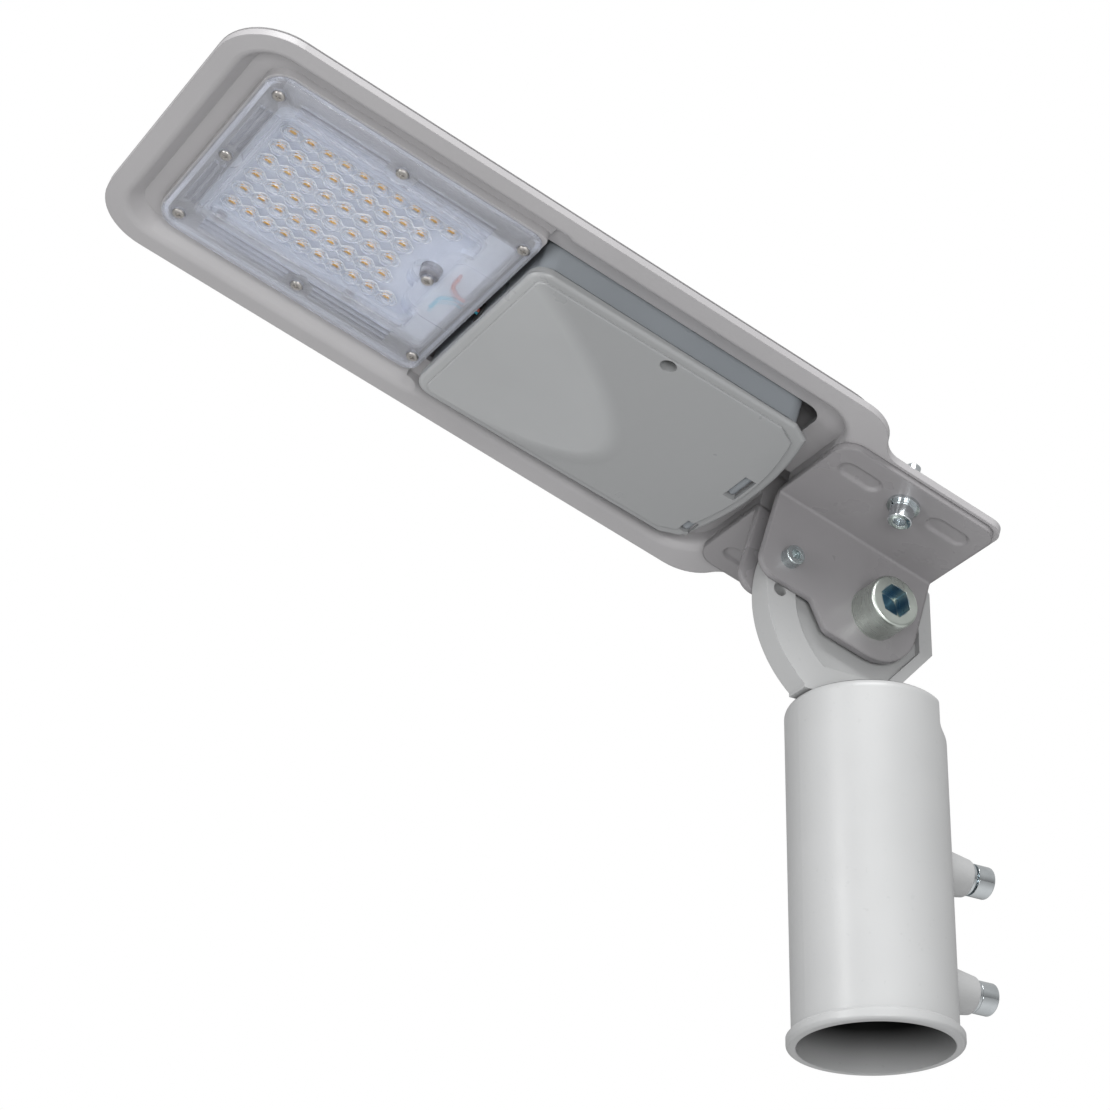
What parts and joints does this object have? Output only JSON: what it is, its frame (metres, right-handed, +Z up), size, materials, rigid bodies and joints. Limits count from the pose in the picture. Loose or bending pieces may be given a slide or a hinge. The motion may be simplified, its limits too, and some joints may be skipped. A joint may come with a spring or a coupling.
{
  "type": "street lamp head",
  "caption": "Flat grey LED street lamp head on a tilting pole spigot, with a clear lens plate, a hinged driver cover and bolted bracket plates.",
  "frame": {"origin": "centre of the spigot's mouth", "axes": "+Z up the spigot, +X towards the way the head reaches, +Y towards the pivot bolt's head"},
  "size_m": [0.3758, 0.15, 0.3291],
  "materials": {
    "cast_grey": "fine-textured light grey powder coat on a die casting",
    "housing_grey": "smooth mid-grey powder coat on a die casting",
    "bracket_grey": "mid-grey powder coat on pressed steel sheet",
    "cover_grey": "satin grey powder coat, slightly cooler than the housing",
    "tray_grey": "bluish grey metallic coat",
    "zinc": "blue-passivated zinc plate with turning marks",
    "stainless": "plain stainless steel",
    "lens_clear": "clear moulded polycarbonate with a faint blue cast",
    "board_white": "white solder mask on an aluminium board",
    "led_yellow": "phosphor-filled silicone",
    "seal_black": "black silicone rubber",
    "driver_case": "satin extruded aluminium",
    "terminal_white": "off-white polyamide",
    "lead_red": "red silicone insulation",
    "lead_blue": "light blue silicone insulation",
    "lead_dark": "dark grey insulation",
    "clamp_plastic": "black polyamide",
    "slip_plastic": "natural low-friction polymer"
  },
  "bodies": {
    "spigot": {"spigot": "cast_grey", "index_lug": "cast_grey", "clamp_washer_lower": "zinc", "clamp_washer_upper": "zinc"},
    "clamp_lower": {"clamp_screw_lower": "zinc"},
    "clamp_upper": {"clamp_screw_upper": "zinc"},
    "index": {"index_screw": "zinc"},
    "cover": {"driver_cover": "cover_grey", "cover_screw": "stainless"},
    "head": {"bracket_near": "bracket_grey", "bracket_far": "bracket_grey", "pivot_bolt": "zinc", "pivot_spring_washer": "zinc", "pivot_nut": "zinc", "tilt_washers": "slip_plastic", "flange_bolts": "zinc", "flange_washers": "zinc", "flange_spring_washers": "zinc", "flange_nuts": "zinc", "housing": "housing_grey", "lens_plate": "lens_clear", "lens_screws": "stainless", "led_board": "board_white", "led_chips": "led_yellow", "board_screws": "stainless", "driver_tray": "tray_grey", "hinge_bars": "stainless", "tray_gasket": "seal_black", "tray_screws": "zinc", "led_driver": "driver_case", "driver_screws": "zinc", "terminal_block": "terminal_white", "terminal_screws": "zinc", "supply_leads": "lead_dark", "cable_grommet": "seal_black", "lead_grommet": "seal_black", "cord_clamp": "clamp_plastic", "cord_clamp_screws": "zinc", "lens_gasket": "seal_black", "led_lead_red": "lead_red", "led_lead_blue": "lead_blue"}
  },
  "joints": [
    {"name": "head_tilt", "type": "hinge", "parent": "spigot", "child": "head", "pos_m": [0, 0, 0.18], "axis": [0, -1, 0], "range_deg": [-17, 73]},
    {"name": "cover_open", "type": "hinge", "parent": "head", "child": "cover", "pos_m": [0.05787, 0, 0.22843], "axis": [0, 1, 0], "range_deg": [0, 85]},
    {"name": "clamp_screw_lower_travel", "type": "slide", "parent": "spigot", "child": "clamp_lower", "axis": [-1, 0, 0], "range_m": [0, 0.012]},
    {"name": "clamp_screw_upper_travel", "type": "slide", "parent": "spigot", "child": "clamp_upper", "axis": [-1, 0, 0], "range_m": [-0.001, 0.012]},
    {"name": "index_screw_travel", "type": "slide", "parent": "head", "child": "index", "axis": [0, 1, 0], "range_m": [0, 0.012]}
  ]
}
